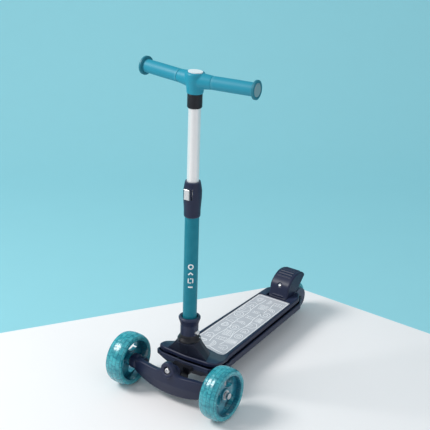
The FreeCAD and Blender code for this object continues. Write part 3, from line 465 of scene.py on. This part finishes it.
# %% Remesh and relax
def relaxed_copy(node, name, cell, passes, material, body):
    """A smoother copy of one of the frame's pieces, which it then stands for."""
    copy = linked_object(name, nodes[node].data.copy())
    remesh = copy.modifiers.new("cells", "REMESH")
    remesh.mode = "VOXEL"
    remesh.voxel_size = cell * 1
    relax = copy.modifiers.new("relax", "SMOOTH")
    relax.factor = 0.5
    relax.iterations = passes
    baked = bpy.data.meshes.new_from_object(
        copy.evaluated_get(bpy.context.evaluated_depsgraph_get()))
    copy.modifiers.clear()
    copy.data = baked
    baked.materials.clear()
    baked.materials.append(material)
    baked.shade_smooth()
    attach(copy, body)
    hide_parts(node)
    print(name, len(baked.vertices), "vertices")


relaxed_copy("front_bridge", "bridge_moulding", 1.1 * MM, 10, navy, "front_truck")
relaxed_copy("column_housing", "housing_moulding", 1.0 * MM, 9, navy_grained, "deck")
relaxed_copy("t_bar", "bar_moulding", 0.8 * MM, 24, bar_teal, "handlebar")
relaxed_copy("brake_fender", "brake_moulding", 0.6 * MM, 4, navy, "brake_fender")


# %% [markdown]
# ## Tyres with a moulded tread
# The frame's tyre is a plain ring. The real one has narrow grooves around it and across
# it. A ring of cells is laid around the axle, one row of vertices per step of the
# section, and wherever a groove runs, its vertices sit a little lower. The rest of the
# section copies the frame's: flat sides, rounded shoulders, a nearly flat tread.

# %% Tyre builder
STEPS_PER_BLOCK = 12
ROWS_PER_RIB = 7
GROOVE_DEPTH = 0.55 * MM
TREAD_REACH = 0.93


def tyre_section(radius, inner, half, steps=26):
    """Section from the inner side wall over the tread: (radius, offset, on the tread)."""
    shoulder = min(7.5 * MM, half * 0.45)
    points = [(inner, -half + 0.5 * MM, 0), (inner + 2 * MM, -half, 0),
              (radius - shoulder - 1.5 * MM, -half, 0)]
    for step in range(steps + 1):
        t = -math.pi / 2 + math.pi * step / steps
        flat = half - shoulder
        side = math.copysign(abs(math.sin(t)) ** 0.62, math.sin(t))
        points.append((radius - shoulder + shoulder * max(0.0, math.cos(t)) ** 0.55,
                       flat * side + shoulder * 0.999 * math.sin(t) ** 3,
                       1 if abs(math.sin(t)) < TREAD_REACH else 0))
    points += [(radius - shoulder - 1.5 * MM, half, 0), (inner + 2 * MM, half, 0),
               (inner, half - 0.5 * MM, 0)]
    return points


def grooved_tyre(name, wheel, body, blocks, inner):
    centre = middle(wheel + "_tyre")
    radius = extent(wheel + "_tyre").z / 2
    half = extent(wheel + "_tyre").y / 2
    section = tyre_section(radius, inner, half)
    around = blocks * STEPS_PER_BLOCK
    shape = bmesh.new()
    rows = []
    for i in range(around):
        turn = 2 * math.pi * i / around
        across = i % STEPS_PER_BLOCK == 0
        row = []
        for k, (r, offset, tread) in enumerate(section):
            depth = GROOVE_DEPTH if tread and (across or k % ROWS_PER_RIB == 3) else 0.0
            row.append(shape.verts.new(centre + Vector((
                (r - depth) * math.cos(turn), offset, (r - depth) * math.sin(turn)))))
        rows.append(row)
    count = len(section)
    for i in range(around):
        after = rows[(i + 1) % around]
        for k in range(count):
            m = (k + 1) % count
            shape.faces.new((rows[i][k], rows[i][m], after[m], after[k]))
    bmesh.ops.recalc_face_normals(shape, faces=shape.faces)
    mesh = mesh_from(shape, name)
    mesh.materials.append(tyre_finish[wheel])
    mesh.shade_smooth()
    tyre = linked_object(name, mesh)
    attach(tyre, body)
    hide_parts(wheel + "_tyre")
    print(name, len(mesh.polygons), "cells")


BLOCKS = {"front_left": 22, "front_right": 22, "rear": 16}
for wheel, body in WHEELS.items():
    inner_radius = extent(wheel + "_rim").z / 2
    grooved_tyre(wheel + "_grooved_tyre", wheel, body, BLOCKS[wheel], inner_radius)


# %% [markdown]
# ## Printed lines
# The mat carries white outlines like a small town plan, and the lower tube a short row of
# white shapes. Each line is a real strip, under a fifth of a millimetre proud: a run of points
# with a left and a right edge, mitred at the corners. The same strip is laid flat on the
# mat or wrapped around the tube, depending on the function that places its points.

# %% Strip builder
def strip(shape, points, width, closed, place):
    """Add a flat ribbon along points (u, v) to a bmesh; place(u, v) gives its position."""
    count = len(points)
    edges = []
    for i, (u, v) in enumerate(points):
        before = points[i - 1] if closed or i else points[i]
        after = points[(i + 1) % count] if closed or i < count - 1 else points[i]
        along = Vector((after[0] - before[0], after[1] - before[1]))
        side = Vector((-along.y, along.x)).normalized() * width / 2
        edges.append((shape.verts.new(place(u + side.x, v + side.y)),
                      shape.verts.new(place(u - side.x, v - side.y))))
    for i in range(count if closed else count - 1):
        first, second = edges[i], edges[(i + 1) % count]
        shape.faces.new((first[0], first[1], second[1], second[0]))


def printed_piece(name, draw, material, body, thickness):
    """Piece made of the strips that draw(shape) adds, given a real thickness."""
    shape = bmesh.new()
    draw(shape)
    mesh = mesh_from(shape, name)
    mesh.materials.append(material)
    piece = linked_object(name, mesh)
    ink = piece.modifiers.new("ink", "SOLIDIFY")
    ink.thickness = thickness
    ink.offset = 0
    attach(piece, body)
    print(name, len(mesh.polygons), "strip faces")


def circle_points(u, v, radius, steps=24, start=0.0, sweep=360.0):
    turns = [math.radians(start + sweep * i / steps) for i in range(steps + (sweep < 360))]
    return [(u + radius * math.cos(a), v + radius * math.sin(a)) for a in turns]


# %% [markdown]
# ## The town plan on the mat
# The drawing is invented: blocks with gabled fronts, a pond, hatched fields, a roundabout
# and roads, set in rows down the mat. Each motif is a few lines in its own small square,
# turned and scaled into place.

# %% Motifs in a unit square
def house():
    return [([(-1, -1), (1, -1), (1, 0.3), (0, 1), (-1, 0.3)], True),
            ([(-0.3, -1), (-0.3, -0.2), (0.3, -0.2), (0.3, -1)], False)]


def hatched_field():
    rows = [([(-1, y), (1, y * 0.7 + 0.1)], False) for y in (-0.7, -0.35, 0.0, 0.35, 0.7)]
    return rows + [([(-1, -1), (1.1, -0.8), (1, 1), (-1, 1)], True)]


def pond():
    shore = [(r * math.cos(t), r * math.sin(t) * 0.8) for t, r in
             ((math.radians(15 * i), 1 + 0.16 * math.sin(math.radians(45 * i)))
              for i in range(24))]
    return [(shore, True), ([(x * 0.6, y * 0.6) for x, y in shore], True)]


def roundabout():
    return [(circle_points(0, 0, 1), True), (circle_points(0, 0, 0.45, 16), True)]


def tower():
    floors = [([(-0.5, y), (0.5, y)], False) for y in (-0.5, 0.0, 0.5)]
    return floors + [([(-0.5, -1), (0.5, -1), (0.5, 1), (-0.5, 1)], True)]


def hill():
    return [(circle_points(0, -0.6, 1.0, 16, 0, 180), False),
            (circle_points(0, -0.6, 0.65, 12, 0, 180), False),
            (circle_points(0, -0.6, 0.3, 8, 0, 180), False)]


MOTIFS = [house, hatched_field, pond, tower, house, hill, hatched_field, roundabout]

# %% Draw the mat's print
PRINT_THICK = 0.24 * MM
PRINT_WIDTH = 1.15 * MM


def on_mat(u, v):
    return Vector((u, v, mat_high.z + 0.05 * MM))


def mat_half_width(x):
    along = (x - mat_low.x) / (mat_high.x - mat_low.x)
    return 41.5 * MM + 6.5 * MM * along


def draw_mat(shape):
    front, rear = mat_high.x - 13 * MM, mat_low.x + 5 * MM
    border = [(rear + 3 * MM, -mat_half_width(rear)), (front - 6 * MM, -mat_half_width(front)),
              (front, -mat_half_width(front) + 6 * MM), (front - 3 * MM, -20 * MM),
              (front - 9 * MM, 0), (front - 3 * MM, 20 * MM),
              (front, mat_half_width(front) - 6 * MM), (front - 6 * MM, mat_half_width(front)),
              (rear + 3 * MM, mat_half_width(rear)), (rear, mat_half_width(rear) - 4 * MM),
              (rear, -mat_half_width(rear) + 4 * MM)]
    strip(shape, border, 1.6 * MM, True, on_mat)
    chance = random.Random(7)
    rows, columns = 9, 3
    for i in range(rows):
        x = rear + 20 * MM + (front - rear - 44 * MM) * i / (rows - 1)
        for k in range(columns):
            y = (k - 1) * mat_half_width(x) * 0.62 + chance.uniform(-2.5, 2.5) * MM
            size = chance.uniform(8.5, 12.5) * MM
            turn = math.radians(chance.choice((0, 90, 90, 180)) + chance.uniform(-14, 14))
            motif = MOTIFS[(i * 2 + k * 5 + chance.randrange(3)) % len(MOTIFS)]()
            for points, closed in motif:
                laid = [(x + size * (u * math.cos(turn) - v * math.sin(turn)),
                         y + size * (u * math.sin(turn) + v * math.cos(turn)))
                        for u, v in points]
                strip(shape, laid, PRINT_WIDTH * chance.uniform(0.6, 1.3), closed, on_mat)
    for k in (-1, 1):
        road = [(rear + (front - rear) * t / 20, k * (14 + 3 * (t % 6 > 2)) * MM)
                for t in range(1, 19)]
        strip(shape, road, 1.5 * MM, False, on_mat)


printed_piece("mat_print", draw_mat, print_white, "deck", PRINT_THICK)

# %% [markdown]
# ## White shapes on the lower tube
# Four plain shapes run down the tube's front: an open ring, a chevron, a square and a
# bar. They wrap around it, so their points are placed by an angle and a height along the
# column.

# %% Draw the tube's print
tube_radius = extent("lower_tube").y / 2
FACING = math.radians(35)
ahead = Vector((0, 1, 0)).cross(COLUMN_UP)
PRINT_FOOT = 0.250


def on_tube(u, v):
    angle = FACING + u / tube_radius
    out = ahead * math.cos(angle) + Vector((0, 1, 0)) * math.sin(angle)
    reach = (PRINT_FOOT + v - column_point.z) / COLUMN_UP.z
    return column_point + COLUMN_UP * reach + out * (tube_radius + 0.02 * MM)


def draw_tube(shape):
    size = 5.0 * MM
    strip(shape, circle_points(0, 56 * MM, size, 28), 2.6 * MM, True, on_tube)
    chevron = [(-size, 37 * MM), (-size / 2, 39.5 * MM), (0, 42 * MM), (size / 2, 39.5 * MM),
               (size, 37 * MM)]
    strip(shape, chevron, 3.0 * MM, False, on_tube)
    square = [(-size, 18 * MM), (0, 18 * MM), (size, 18 * MM), (size, 23 * MM), (size, 28 * MM),
              (0, 28 * MM), (-size, 28 * MM), (-size, 23 * MM)]
    strip(shape, square, 2.4 * MM, True, on_tube)
    bar_line = [(size * t / 4, 8 * MM) for t in range(-4, 5)]
    strip(shape, bar_line, 3.2 * MM, False, on_tube)


printed_piece("tube_print", draw_tube, mark_white, "deck", PRINT_THICK)

# %% [markdown]
# ## Floor, light and camera
# The scooter stands on a white platform whose far corner lies behind its brake. Beyond
# and below it everything is pale blue: a sheet that runs back and curves up into a wall.
# The light is a large soft panel high on the camera's left, a weaker one on its right,
# and a pale sky that keeps the shadows light.

# %% Platform and wall
def stage_sheet(name, rows, colour):
    """Sheet through rows of points, in one even colour."""
    shape = bmesh.new()
    laid = [[shape.verts.new(point) for point in row] for row in rows]
    for low, high in zip(laid, laid[1:]):
        for i in range(len(low) - 1):
            shape.faces.new((low[i], low[i + 1], high[i + 1], high[i]))
    mesh = mesh_from(shape, name)
    mesh.shade_smooth()
    sheet = linked_object(name, mesh)
    paint, tree, surface = new_material(name + " paint")
    paper = use_group(tree, tone_group, {"Colour": (*colour, 1), "Cloud": 0.02, "Dust": 0.0})
    tree.links.new(paper.outputs["Colour"], surface.inputs["Base Color"])
    surface.inputs["Roughness"].default_value = 0.85
    mesh.materials.append(paint)


PLATFORM_CORNER = Vector((-0.368, -0.082, 0))
ALONG_LEFT = Vector((3.27, -2.31, 0))
ALONG_RIGHT = Vector((0.19, 4.0, 0))
stage_sheet("platform", [
    [PLATFORM_CORNER, PLATFORM_CORNER + ALONG_RIGHT],
    [PLATFORM_CORNER + ALONG_LEFT, PLATFORM_CORNER + ALONG_LEFT + ALONG_RIGHT]],
    (0.88, 0.865, 0.87))
away = Vector((-0.82, -0.57, 0))
side = Vector((0.57, -0.82, 0))
WALL_FOOT, WALL_RADIUS, WALL_HALF, WALL_TOP, DROP = 2.2, 1.5, 7, 6.0, 0.5
WALL_STEPS = 16
wall_profile = [(-4.0, 0.0), (WALL_FOOT, 0.0)]
for step in range(1, WALL_STEPS + 1):
    t = math.pi / 2 * step / WALL_STEPS
    wall_profile.append((WALL_FOOT + WALL_RADIUS * math.sin(t), WALL_RADIUS * (1 - math.cos(t))))
wall_profile.append((WALL_FOOT + WALL_RADIUS, WALL_TOP))
stage_sheet("wall", [[away * d + side * s + Vector((0, 0, z - DROP))
                      for s in (-WALL_HALF, WALL_HALF)] for d, z in wall_profile],
            (0.345, 0.735, 0.815))
print("platform corner", [round(v, 2) for v in PLATFORM_CORNER])


# %% Lights
def soft_panel(name, place, aim, size, power, colour):
    lamp = bpy.data.lights.new(name, "AREA")
    lamp.shape = "SQUARE"
    lamp.size = size
    lamp.energy = power
    lamp.color = colour
    panel = linked_object(name, lamp)
    panel.location = place
    panel.rotation_euler = (Vector(aim) - Vector(place)).to_track_quat("-Z", "Y").to_euler()


soft_panel("key panel", (1.5, -1.9, 2.6), (0, 0, 0.2), 1.3, 84, (1.0, 0.98, 0.96))
soft_panel("fill panel", (0.8, 2.8, 1.4), (0, 0, 0.2), 2.2, 12, (0.95, 0.98, 1.0))
world = bpy.data.worlds.new("studio sky")
world.use_nodes = True
sky = world.node_tree.nodes["Background"]
sky.inputs["Color"].default_value = (0.92, 0.96, 1.0, 1)
sky.inputs["Strength"].default_value = 0.58
bpy.context.scene.world = world
bpy.context.scene.view_settings.view_transform = "Standard"

# %% Camera
lens = bpy.data.cameras.new("camera")
lens.sensor_width = 36.0
lens.lens = 103.63
camera = linked_object("camera", lens)
camera.location = (2.086, 1.411, 1.516)
camera.rotation_euler = (math.radians(65.32), 0.0, math.radians(125.10))
bpy.context.scene.camera = camera
print("camera", [round(v, 2) for v in camera.location])
